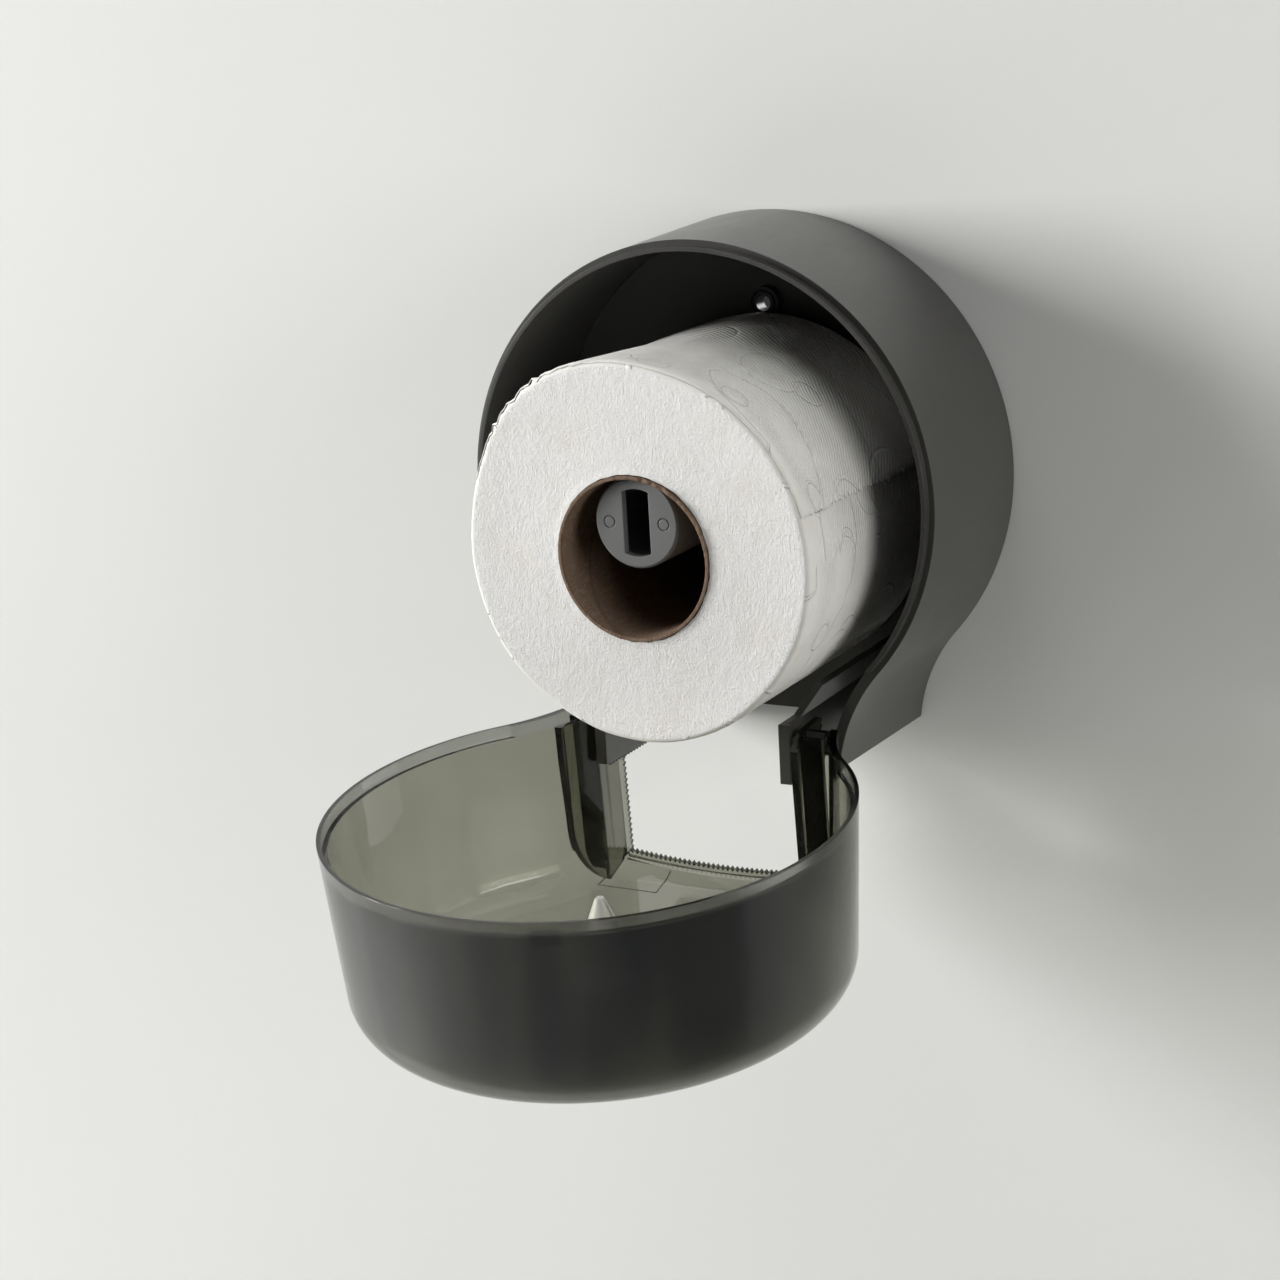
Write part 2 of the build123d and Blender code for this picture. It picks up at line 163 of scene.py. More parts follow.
# ---------------------------------------------------------------- shared effects
def make_moulded_skin():
    """Spark-eroded skin of moulded plastic: fine grain, faint flow marks and handling marks."""
    group, given, made = new_group(
        "moulded skin",
        [
            ("Grain Size", FLOAT, 0.0005),
            ("Grain Depth", FLOAT, 0.00002),
            ("Base Roughness", FLOAT, 0.4),
            ("Roughness Spread", FLOAT, 0.08),
            ("Edge Radius", FLOAT, 0.0004),
        ],
        [("Mottle", FLOAT), ("Edge", FLOAT), ("Roughness", FLOAT), ("Normal", VECTOR)],
    )
    spot = object_spot(group)
    scale = math_of(group, "DIVIDE", 1.0, given.outputs["Grain Size"])
    grain = noise_of(group, spot, scale, 2.0, 0.6)
    flow = noise_of(group, stretched(group, spot, (14, 5, 9)), 1.6, 4.0, 0.55)
    marks = noise_of(group, stretched(group, spot, (60, 22, 35)), 1.0, 5.0, 0.7)
    soft = place(group, "ShaderNodeBevel", {"Radius": given.outputs["Edge Radius"]}, samples=4)
    bump = place(
        group,
        "ShaderNodeBump",
        {
            "Strength": 1.0,
            "Distance": given.outputs["Grain Depth"],
            "Height": grain,
            "Normal": soft.outputs[0],
        },
    )
    true_normal = group.nodes.new("ShaderNodeNewGeometry").outputs["Normal"]
    turned = vector_of(group, "DOT_PRODUCT", soft.outputs[0], true_normal).outputs["Value"]
    edge = remap(group, turned, 0.995, 0.88, 0.0, 1.0)
    off_middle = math_of(group, "SUBTRACT", marks, 0.5)
    spread = math_of(group, "MULTIPLY", off_middle, given.outputs["Roughness Spread"])
    rough = math_of(group, "ADD", given.outputs["Base Roughness"], math_of(group, "MULTIPLY", spread, 3.0))
    rough = math_of(group, "SUBTRACT", rough, math_of(group, "MULTIPLY", edge, 0.06))
    group.links.new(flow, made.inputs["Mottle"])
    group.links.new(edge, made.inputs["Edge"])
    group.links.new(rough, made.inputs["Roughness"])
    group.links.new(bump.outputs[0], made.inputs["Normal"])
    return group


def make_dust():
    """Fine dust that settles on upward faces, broken up by noise."""
    group, given, made = new_group(
        "settled dust", [("Amount", FLOAT, 0.3), ("Speck Size", FLOAT, 0.0009)], [("Mask", FLOAT)]
    )
    coords = group.nodes.new("ShaderNodeTexCoord")
    up = place(group, "ShaderNodeSeparateXYZ", {0: coords.outputs["Normal"]}).outputs[2]
    facing = remap(group, up, 0.2, 0.95, 0.0, 1.0)
    scale = math_of(group, "DIVIDE", 1.0, given.outputs["Speck Size"])
    specks = remap(group, noise_of(group, coords.outputs["Object"], scale, 3.0, 0.65), 0.5, 0.72, 0.0, 1.0)
    cloud = remap(group, noise_of(group, coords.outputs["Object"], 45.0, 3.0, 0.6), 0.38, 0.7, 0.2, 1.0)
    mask = math_of(group, "MULTIPLY", math_of(group, "MULTIPLY", facing, specks), cloud)
    group.links.new(math_of(group, "MULTIPLY", mask, given.outputs["Amount"]), made.inputs["Mask"])
    return group


def make_fibres():
    """Short tangled fibres of paper and board."""
    group, given, made = new_group(
        "fibres",
        [("Vector", VECTOR, None), ("Length", FLOAT, 0.0025), ("Width", FLOAT, 0.0003)],
        [("Height", FLOAT), ("Cloud", FLOAT)],
    )
    spot = given.outputs["Vector"]
    long_scale = math_of(group, "DIVIDE", 1.0, given.outputs["Length"])
    wide_scale = math_of(group, "DIVIDE", 1.0, given.outputs["Width"])
    warp = place(group, "ShaderNodeTexNoise", {"Vector": spot, "Scale": 300.0, "Detail": 2.0})
    centred = vector_of(group, "SUBTRACT", warp.outputs["Color"], (0.5, 0.5, 0.5)).outputs[0]
    bent = vector_of(group, "SCALE", centred)
    bent.inputs["Scale"].default_value = 0.0022
    moved = vector_of(group, "ADD", spot, bent.outputs[0]).outputs[0]
    parts = place(group, "ShaderNodeSeparateXYZ", {0: moved})

    def strands(x_scale, other_scale):
        """Noise drawn out along X, or along the other two axes."""
        scales = enumerate((x_scale, other_scale, other_scale))
        axes = {i: math_of(group, "MULTIPLY", parts.outputs[i], scale) for i, scale in scales}
        return noise_of(group, place(group, "ShaderNodeCombineXYZ", axes).outputs[0], 1.0, 2.0, 0.6)

    along = strands(long_scale, wide_scale)
    across = strands(wide_scale, long_scale)
    group.links.new(math_of(group, "MAXIMUM", along, across), made.inputs["Height"])
    group.links.new(noise_of(group, spot, 130.0, 3.0, 0.6), made.inputs["Cloud"])
    return group


def make_pressed_loops():
    """Rounded loops pressed into tissue, drawn as the rims of warped cells."""
    group, given, made = new_group(
        "pressed loops",
        [
            ("Vector", VECTOR, None),
            ("Cell", FLOAT, 0.03),
            ("Reach", FLOAT, 0.36),
            ("Line", FLOAT, 0.02),
            ("Warp", FLOAT, 0.25),
            ("Seed", FLOAT, 0.0),
        ],
        [("Line Mask", FLOAT), ("Inside", FLOAT)],
    )
    scale = math_of(group, "DIVIDE", 1.0, given.outputs["Cell"])
    spot = vector_of(group, "SCALE", given.outputs["Vector"])
    group.links.new(scale, spot.inputs["Scale"])
    seed = given.outputs["Seed"]
    shift = place(group, "ShaderNodeCombineXYZ", {0: seed, 1: seed}).outputs[0]
    here = vector_of(group, "ADD", spot.outputs[0], shift).outputs[0]
    warp = place(group, "ShaderNodeTexNoise", {"Vector": here, "Scale": 1.1, "Detail": 0.0})
    centred = vector_of(group, "SUBTRACT", warp.outputs["Color"], (0.5, 0.5, 0.5)).outputs[0]
    bent = vector_of(group, "SCALE", centred)
    group.links.new(given.outputs["Warp"], bent.inputs["Scale"])
    moved = vector_of(group, "ADD", here, bent.outputs[0]).outputs[0]
    cell = place(group, "ShaderNodeTexVoronoi", {"Vector": moved, "Scale": 1.0, "Randomness": 0.75})
    cell.voronoi_dimensions = "2D"
    past_reach = math_of(group, "SUBTRACT", cell.outputs["Distance"], given.outputs["Reach"])
    away = math_of(group, "ABSOLUTE", past_reach)
    line = math_of(group, "DIVIDE", away, given.outputs["Line"])
    group.links.new(remap(group, line, 0.3, 1.0, 1.0, 0.0), made.inputs["Line Mask"])
    inside = math_of(group, "LESS_THAN", cell.outputs["Distance"], given.outputs["Reach"])
    group.links.new(inside, made.inputs["Inside"])
    return group


moulded_skin = make_moulded_skin()
settled_dust = make_dust()
fibres = make_fibres()
pressed_loops = make_pressed_loops()


# ---------------------------------------------------------------- finishes
def opaque_plastic(name, colour, pale, roughness, grain, depth, dust=0.0, coat=0.0):
    """Moulded opaque plastic: colour mottle, paler worn edges, grain, a little dust."""
    material, tree, shader = new_finish(name, IOR=1.5, Coat_Weight=coat, Coat_Roughness=0.3)
    skin = use_group(tree, moulded_skin, Grain_Size=grain, Grain_Depth=depth, Base_Roughness=roughness)
    tone = blend_colour(tree, remap(tree, skin.outputs["Mottle"], 0.3, 0.7, 0.0, 1.0), colour, pale)
    worn = math_of(tree, "MULTIPLY", skin.outputs["Edge"], 0.35)
    edge = blend_colour(tree, worn, tone, tuple(min(1.0, c * 2.2) for c in colour[:3]) + (1,))
    if dust:
        mask = use_group(tree, settled_dust, Amount=dust).outputs["Mask"]
        edge = blend_colour(tree, mask, edge, (0.42, 0.41, 0.38, 1))
    tree.links.new(edge, shader.inputs["Base Color"])
    tree.links.new(skin.outputs["Roughness"], shader.inputs["Roughness"])
    tree.links.new(skin.outputs["Normal"], shader.inputs["Normal"])
    return material


def smoky_polycarbonate(name, painted_shade_tint, ribs):
    """See-through grey plastic, satin outside and smooth inside, deeper in tone at the front of the bowl."""
    material, tree, shader = new_finish(name, IOR=1.5, Transmission_Weight=1.0)
    coords = tree.nodes.new("ShaderNodeTexCoord")
    spot = coords.outputs["Object"]
    outward = vector_of(tree, "SUBTRACT", spot, BOWL_CENTRE).outputs[0]
    flat = stretched(tree, outward, (1, 1, 0.6))
    side = vector_of(tree, "DOT_PRODUCT", flat, coords.outputs["Normal"]).outputs["Value"]
    outside = remap(tree, side, 0.0, 0.004, 0.0, 1.0)
    parts = place(tree, "ShaderNodeSeparateXYZ", {0: spot})
    facing = place(tree, "ShaderNodeSeparateXYZ", {0: coords.outputs["Normal"]})
    rim_height = math_of(tree, "MULTIPLY_ADD", parts.outputs[1], -math.tan(math.radians(4)), -RIM_AT_ZERO)
    below_rim = math_of(tree, "ADD", parts.outputs[2], rim_height)
    lip = remap(tree, below_rim, -0.0041, -0.0035, 0.0, 1.0)
    flow = noise_of(tree, stretched(tree, spot, (9, 9, 30)), 1.0, 2.0)
    tint = blend_colour(
        tree, remap(tree, flow, 0.3, 0.7, 0.0, 1.0), (0.39, 0.39, 0.33, 1), (0.43, 0.43, 0.365, 1)
    )
    shade_tint = tint
    if ribs:
        # Fin faces that do not face sideways are darkened to near black: painted shade on the fins' edges.
        across = math_of(tree, "ABSOLUTE", facing.outputs[0])
        edge = remap(tree, across, 0.75, 0.35, 0.0, 1.0)
        tint = blend_colour(tree, edge, tint, painted_shade_tint)
    else:
        front = remap(tree, parts.outputs[1], -0.085, -0.165, 0.0, 1.0)
        # Vertical streaks lighten the deep tint in bands: a painted sheen.
        painted_sheen_streaks = noise_of(tree, stretched(tree, spot, (55, 55, 5)), 1.0, 1.0)
        deep = math_of(tree, "MULTIPLY", front, remap(tree, painted_sheen_streaks, 0.35, 0.65, 0.78, 1.0))
        low = remap(tree, below_rim, -0.034, -0.054, 1.0, 0.72)
        deep = math_of(tree, "MULTIPLY", math_of(tree, "MULTIPLY", deep, low), outside)
        tint = blend_colour(tree, deep, tint, (0.016, 0.020, 0.027, 1))
        tint = blend_colour(tree, math_of(tree, "MULTIPLY", lip, 0.8), tint, (0.42, 0.425, 0.40, 1))
        # Upward faces at the rim lip are darkened towards the given shade colour: painted shade.
        top = remap(tree, facing.outputs[2], 0.75, 0.95, 0.0, 0.6)
        rim_top_painted_shade = math_of(tree, "MULTIPLY", top, lip)
        tint = blend_colour(tree, rim_top_painted_shade, tint, painted_shade_tint)
    tree.links.new(tint, shader.inputs["Base Color"])
    skin = use_group(
        tree,
        moulded_skin,
        Grain_Size=0.0008,
        Grain_Depth=0.0000015,
        Base_Roughness=0.05,
        Roughness_Spread=0.004,
        Edge_Radius=0.0003,
    )
    haze = noise_of(tree, stretched(tree, spot, (42, 42, 4)), 1.0, 2.0)
    satin = math_of(tree, "MULTIPLY", outside, remap(tree, haze, 0.35, 0.65, 0.07, 0.13))
    tree.links.new(math_of(tree, "ADD", satin, skin.outputs["Roughness"]), shader.inputs["Roughness"])
    tree.links.new(skin.outputs["Normal"], shader.inputs["Normal"])
    clear = tree.nodes.new("ShaderNodeBsdfTransparent")
    tree.links.new(blend_colour(tree, 0.6, shade_tint, (0.7, 0.7, 0.66, 1)), clear.inputs["Color"])
    path = tree.nodes.new("ShaderNodeLightPath")
    mixed = place(tree, "ShaderNodeMixShader", {0: path.outputs["Is Shadow Ray"]})
    tree.links.new(shader.outputs[0], mixed.inputs[1])
    tree.links.new(clear.outputs[0], mixed.inputs[2])
    output = next(node for node in tree.nodes if node.type == "OUTPUT_MATERIAL")
    tree.links.new(mixed.outputs[0], output.inputs["Surface"])
    volume = tree.nodes.new("ShaderNodeVolumeAbsorption")
    volume.inputs["Color"].default_value = (0.55, 0.55, 0.50, 1)
    volume.inputs["Density"].default_value = 220.0
    tree.links.new(volume.outputs[0], output.inputs["Volume"])
    return material


def brushed_steel():
    """Turned zinc-plated steel with fine rings and dulled spots."""
    material, tree, shader = new_finish("plated steel", Metallic=1.0)
    spot = object_spot(tree)
    rings = noise_of(tree, stretched(tree, spot, (9000, 700, 700)), 1.0, 2.0)
    dull = noise_of(tree, spot, 700.0, 4.0, 0.65)
    tree.links.new(
        blend_colour(tree, dull, (0.46, 0.46, 0.47, 1), (0.68, 0.68, 0.69, 1)), shader.inputs["Base Color"]
    )
    tree.links.new(remap(tree, dull, 0.3, 0.75, 0.2, 0.42), shader.inputs["Roughness"])
    add_relief(tree, shader, 0.5, 0.00002, rings)
    return material


def wound_end():
    """End of the wound roll: packed tissue edges in faint rings with a fuzzy nap."""
    material, tree, shader = new_finish(
        "tissue end", Specular_IOR_Level=0.15, Sheen_Weight=0.05, Roughness=0.95
    )
    spot = object_spot(tree)
    centred = vector_of(tree, "SUBTRACT", spot, (0, 0, ROLL_Z)).outputs[0]
    flat = stretched(tree, centred, (1, 0, 1))
    radius = vector_of(tree, "LENGTH", flat).outputs["Value"]
    wander = math_of(tree, "MULTIPLY", noise_of(tree, spot, 90.0, 3.0), 0.0022)
    ring_at = math_of(tree, "MULTIPLY", math_of(tree, "ADD", radius, wander), 1500.0)
    rings = noise_of(tree, place(tree, "ShaderNodeCombineXYZ", {0: ring_at}).outputs[0], 1.0, 3.0, 0.6)
    nap = use_group(tree, fibres, Vector=spot, Length=0.0016, Width=0.00035)
    lumps = noise_of(tree, spot, 520.0, 5.0, 0.72)
    ring_height = math_of(tree, "MULTIPLY", rings, 0.12)
    height = math_of(tree, "ADD", ring_height, math_of(tree, "MULTIPLY", lumps, 0.8))
    height = math_of(tree, "ADD", height, math_of(tree, "MULTIPLY", nap.outputs["Height"], 0.8))
    add_relief(tree, shader, 1.0, 0.00045, height)
    warm = remap(tree, noise_of(tree, spot, 55.0, 3.0, 0.6), 0.45, 0.75, 0.0, 1.0)
    tone = blend_colour(tree, warm, (0.86, 0.855, 0.845, 1), (0.845, 0.82, 0.785, 1))
    shade = remap(tree, rings, 0.35, 0.65, 0.0, 0.05)
    tree.links.new(blend_colour(tree, shade, tone, (0.74, 0.73, 0.71, 1)), shader.inputs["Base Color"])
    return material


def embossed_tissue():
    """Outer plies: pressed loops and fine slanting ribs."""
    material, tree, shader = new_finish(
        "embossed tissue", Specular_IOR_Level=0.12, Sheen_Weight=0.05, Roughness=0.95
    )
    wrap = tree.nodes.new("ShaderNodeUVMap")
    wrap.uv_map = "wrap"
    turned = place(
        tree,
        "ShaderNodeMapping",
        {"Vector": wrap.outputs[0], "Rotation": (0, 0, 0.55), "Scale": (1.0, 1.9, 1.0)},
    ).outputs[0]
    large = use_group(
        tree, pressed_loops, Vector=turned, Cell=0.056, Reach=0.42, Line=0.015, Warp=0.3, Seed=3.2
    )
    middle = use_group(
        tree, pressed_loops, Vector=wrap.outputs[0], Cell=0.05, Reach=0.19, Line=0.014, Warp=0.2, Seed=8.7
    )
    small = use_group(
        tree, pressed_loops, Vector=wrap.outputs[0], Cell=0.042, Reach=0.105, Line=0.015, Warp=0.1, Seed=1.4
    )
    faint_middle = math_of(tree, "MULTIPLY", middle.outputs[0], 0.7)
    finer = math_of(tree, "MAXIMUM", faint_middle, small.outputs[0])
    lines = math_of(tree, "MAXIMUM", large.outputs[0], finer)
    slant = place(tree, "ShaderNodeMapping", {"Vector": wrap.outputs[0], "Rotation": (0, 0, 1.0)}).outputs[0]
    ribs = place(
        tree,
        "ShaderNodeTexWave",
        {"Vector": slant, "Scale": 250.0, "Distortion": 1.6, "Detail": 1.0, "Detail Scale": 0.5},
    ).outputs["Fac"]
    nap = use_group(tree, fibres, Vector=wrap.outputs[0], Length=0.003, Width=0.0003)
    field = remap(tree, noise_of(tree, wrap.outputs[0], 30.0, 2.0), 0.35, 0.6, 0.45, 1.0)
    along = place(tree, "ShaderNodeSeparateXYZ", {0: wrap.outputs[0]}).outputs[1]
    off_rim = remap(tree, along, ROLL_FRONT + 0.002, ROLL_FRONT + 0.012, 0.0, 1.0)
    field = math_of(tree, "MULTIPLY", field, off_rim)
    height = math_of(tree, "MULTIPLY", math_of(tree, "MULTIPLY", ribs, field), 0.75)
    height = math_of(tree, "ADD", height, math_of(tree, "MULTIPLY", nap.outputs["Height"], 0.3))
    height = math_of(tree, "SUBTRACT", height, math_of(tree, "MULTIPLY", lines, 1.05))
    add_relief(tree, shader, 1.0, 0.00045, height)
    warm = remap(tree, nap.outputs["Cloud"], 0.35, 0.7, 0.0, 1.0)
    tone = blend_colour(tree, warm, (0.84, 0.83, 0.80, 1), (0.80, 0.785, 0.74, 1))
    bright = blend_colour(tree, math_of(tree, "MULTIPLY", lines, 0.5), tone, (0.9, 0.9, 0.89, 1))
    tree.links.new(bright, shader.inputs["Base Color"])
    return material


def spiral_board():
    """Grey-brown spiral wound cardboard with its seam."""
    material, tree, shader = new_finish("core board", Specular_IOR_Level=0.15, Roughness=0.95)
    spot = object_spot(tree)
    centred = vector_of(tree, "SUBTRACT", spot, (0, 0, ROLL_Z)).outputs[0]
    axes = place(tree, "ShaderNodeSeparateXYZ", {0: centred})
    angle = math_of(tree, "ARCTAN2", axes.outputs[2], axes.outputs[0])
    climb = math_of(tree, "MULTIPLY", axes.outputs[1], 13.0)
    turns = math_of(tree, "ADD", climb, math_of(tree, "DIVIDE", angle, 6.2832))
    seam_at = math_of(tree, "ABSOLUTE", math_of(tree, "SUBTRACT", math_of(tree, "FRACT", turns), 0.5))
    seam = remap(tree, seam_at, 0.0, 0.02, 1.0, 0.0)
    nap = use_group(tree, fibres, Vector=spot, Length=0.004, Width=0.0004)
    pale = remap(tree, nap.outputs["Height"], 0.4, 0.75, 0.0, 1.0)
    tone = blend_colour(tree, pale, (0.15, 0.10, 0.07, 1), (0.25, 0.175, 0.125, 1))
    cloud = remap(tree, nap.outputs["Cloud"], 0.35, 0.7, 0.0, 0.5)
    tone = blend_colour(tree, cloud, tone, (0.2, 0.145, 0.105, 1))
    tone = blend_colour(tree, math_of(tree, "MULTIPLY", seam, 0.6), tone, (0.14, 0.09, 0.06, 1))
    tree.links.new(tone, shader.inputs["Base Color"])
    height = math_of(tree, "SUBTRACT", math_of(tree, "MULTIPLY", nap.outputs["Height"], 0.6), seam)
    add_relief(tree, shader, 0.6, 0.0003, height)
    return material


housing_plastic = opaque_plastic(
    "matt graphite plastic",
    (0.042, 0.041, 0.038, 1),
    (0.051, 0.05, 0.046, 1),
    roughness=0.35,
    grain=0.0005,
    depth=0.000012,
    dust=0.15,
    coat=0.35,
)
spindle_plastic = opaque_plastic(
    "grey plastic",
    (0.135, 0.137, 0.137, 1),
    (0.155, 0.157, 0.156, 1),
    roughness=0.45,
    grain=0.0004,
    depth=0.00001,
    dust=0.1,
)
catch_plastic = opaque_plastic(
    "white acetal",
    (0.74, 0.73, 0.74, 1),
    (0.80, 0.80, 0.80, 1),
    roughness=0.3,
    grain=0.0004,
    depth=0.000006,
    dust=0.1,
)
spacer_nylon = opaque_plastic(
    "black nylon",
    (0.03, 0.03, 0.03, 1),
    (0.04, 0.04, 0.04, 1),
    roughness=0.35,
    grain=0.0004,
    depth=0.000008,
)
# The second colour of each cover finish is painted shade: on the bowl's upward faces at the rim lip, and on
# the fins' edge faces.
cover_plastic = smoky_polycarbonate("smoky polycarbonate", (0.12, 0.12, 0.11, 1), False)
rib_plastic = smoky_polycarbonate("smoky polycarbonate ribs", (0.015, 0.015, 0.013, 1), True)
steel = brushed_steel()
tissue_end = wound_end()
tissue_side = embossed_tissue()
core_board = spiral_board()

FINISH_OF_SLOT = {
    "housing": housing_plastic,
    "spindle": spindle_plastic,
    "catch": catch_plastic,
    "nylon": spacer_nylon,
    "cover": cover_plastic,
    "steel": steel,
    "core": core_board,
    "paper": tissue_side,
}
for part in frame["record"]["subparts"]:
    data = cad_nodes[part["node"]].data
    data.materials.clear()
    finish = FINISH_OF_SLOT[part["material_slot"]]
    if part["node"] in ("fin_left", "fin_right"):
        finish = rib_plastic
    data.materials.append(finish)


# ---------------------------------------------------------------- paper roll
def rough(x, y, z, scale, seed=0.0):
    """Smooth noise round zero at a place."""
    return noise.noise(Vector((x * scale + seed, y * scale, z * scale - seed)))


def bump_of(value, middle, width):
    """Smooth hump of height 1 round the middle."""
    t = abs(value - middle) / width
    return 0.0 if t >= 1 else (math.cos(math.pi * t) + 1) / 2


def turn_gap(angle, middle):
    """Signed angle from the middle, in degrees, from -180 to 180."""
    return (angle - middle + 180) % 360 - 180


def torn_edge(degrees):
    """How far the plies are pulled out of line along the rim, most at the upper left."""
    turn = math.radians(degrees)
    cx, cz = math.cos(turn), math.sin(turn)
    torn = bump_of(turn_gap(degrees, 128), 0, 40)
    pulled = torn * (0.0011 * rough(cx, 0, cz, 40, 3.0) + 0.0009 * rough(cx, 0, cz, 95, 9.0))
    return pulled + 0.00012 * rough(cx, 0, cz, 60, 4.0)


def outer_radius(degrees, y):
    """Radius of the wound paper: nearly round, with slack plies at the upper left of the free end."""
    turn = math.radians(degrees)
    cx, cz = math.cos(turn), math.sin(turn)
    near_front = min(1.0, max(0.0, (-y - 0.02) / 0.07))
    slack = bump_of(turn_gap(degrees, 120), 0, 48) * 0.0034 * near_front
    wave = rough(cx, y * 6, cz, 1.6, 2.0) * 0.0005 + rough(cx, y * 14, cz, 5.0, 7.0) * 0.0002
    return ROLL_RADIUS + slack + wave


def grid_mesh(name, rows, columns, closed, spot_of, uv_of, finish_of, finishes):
    """Mesh of rows by columns of points, closed round the columns or open."""
    points, faces, coords, slots = [], [], [], []
    for r in range(rows):
        for c in range(columns):
            points.append(spot_of(r, c))
    last = columns if closed else columns - 1
    for r in range(rows - 1):
        for c in range(last):
            d = (c + 1) % columns
            faces.append((r * columns + c, r * columns + d, (r + 1) * columns + d, (r + 1) * columns + c))
            coords.extend([uv_of(r, c), uv_of(r, c + 1), uv_of(r + 1, c + 1), uv_of(r + 1, c)])
            slots.append(finish_of(r))
    mesh = bpy.data.meshes.new(name)
    mesh.from_pydata(points, [], faces)
    layer = mesh.uv_layers.new(name="wrap")
    for loop, coord in zip(layer.data, coords):
        loop.uv = coord
    for finish in finishes:
        mesh.materials.append(finish)
    for face, slot in zip(mesh.polygons, slots):
        face.material_index = slot
        face.use_smooth = True
    made = bpy.data.objects.new(name, mesh)
    bpy.context.scene.collection.objects.link(made)
    return made


def add_thickness(made, thickness, offset):
    """Gives a thin sheet its thickness, outwards at offset 1 and inwards at -1."""
    solid = made.modifiers.new("ply", "SOLIDIFY")
    solid.thickness = thickness
    solid.offset = offset


def wound_profile():
    """Stations (share of radius, y, rim step) from the core over the free end, along the roll and back."""
    stations = []
    for i in range(34):
        stations.append(("end", i / 33, ROLL_FRONT))
    for i in range(1, 7):
        stations.append(("rim", i / 6, ROLL_FRONT))
    for i in range(1, 60):
        stations.append(("side", i / 60, 0))
    for i in range(7):
        stations.append(("back_rim", i / 6, ROLL_BACK))
    for i in range(1, 13):
        stations.append(("back", i / 12, ROLL_BACK))
    return stations


def make_wound_paper():
    """The wound roll with soft rims, a slightly uneven free end and torn plies at its upper left."""
    stations = wound_profile()
    columns = 420
    rim = RIM_ROUND

    def spot_of(r, c):
        kind, share, y = stations[r]
        degrees = 360 * c / columns
        turn = math.radians(degrees)
        cx, cz = math.cos(turn), math.sin(turn)
        fray = torn_edge(degrees)
        outer = outer_radius(degrees, ROLL_FRONT)
        inner = CORE_RADIUS + 0.00025 * rough(cx, 0, cz, 9, 1.0) + 0.0001
        if kind == "end":
            radius = inner + (outer - rim - inner) * share
            dish = 0.0004 * math.sin(math.pi * share)
            ripple = 0.00012 * rough(cx * radius, 0, cz * radius, 60, 5.0)
            ripple += 0.00006 * rough(cx * radius, 0, cz * radius, 220, 8.0)
            inner_lift = -0.0003 * bump_of(share, 0, 0.08)
            y += dish + ripple + inner_lift
        elif kind == "rim":
            angle = math.pi / 2 * share
            radius = outer - rim + rim * math.sin(angle) + fray * math.sin(angle)
            y += rim * (1 - math.cos(angle)) + fray * math.sin(angle) ** 2 * 0.8
        elif kind == "side":
            y = ROLL_FRONT + rim + (ROLL_BACK - rim - ROLL_FRONT - rim) * share
            radius = outer_radius(degrees, y) + fray * max(0.0, 1 - share * 8)
        elif kind == "back_rim":
            angle = math.pi / 2 * (1 - share)
            radius = outer_radius(degrees, y) - rim + rim * math.sin(angle)
            y -= rim * (1 - math.cos(angle))
        else:
            start = outer_radius(degrees, y) - rim
            radius = start + (CORE_RADIUS + 0.0001 - start) * share
        return (cx * radius, y, cz * radius + ROLL_Z)

    def uv_of(r, c):
        kind, share, y = stations[r]
        x = 2 * math.pi * ROLL_RADIUS * c / columns
        if kind == "side":
            return (x, ROLL_FRONT + (ROLL_BACK - ROLL_FRONT) * share)
        return (x, y + (0.001 * share if kind == "rim" else 0))

    def finish_of(r):
        return 0 if stations[r][0] in ("end", "back") and stations[r + 1][0] != "side" else 1

    finishes = [tissue_end, tissue_side]
    made = grid_mesh("wound_paper", len(stations), columns, True, spot_of, uv_of, finish_of, finishes)
    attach(made, "roll")
    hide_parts("paper_roll")


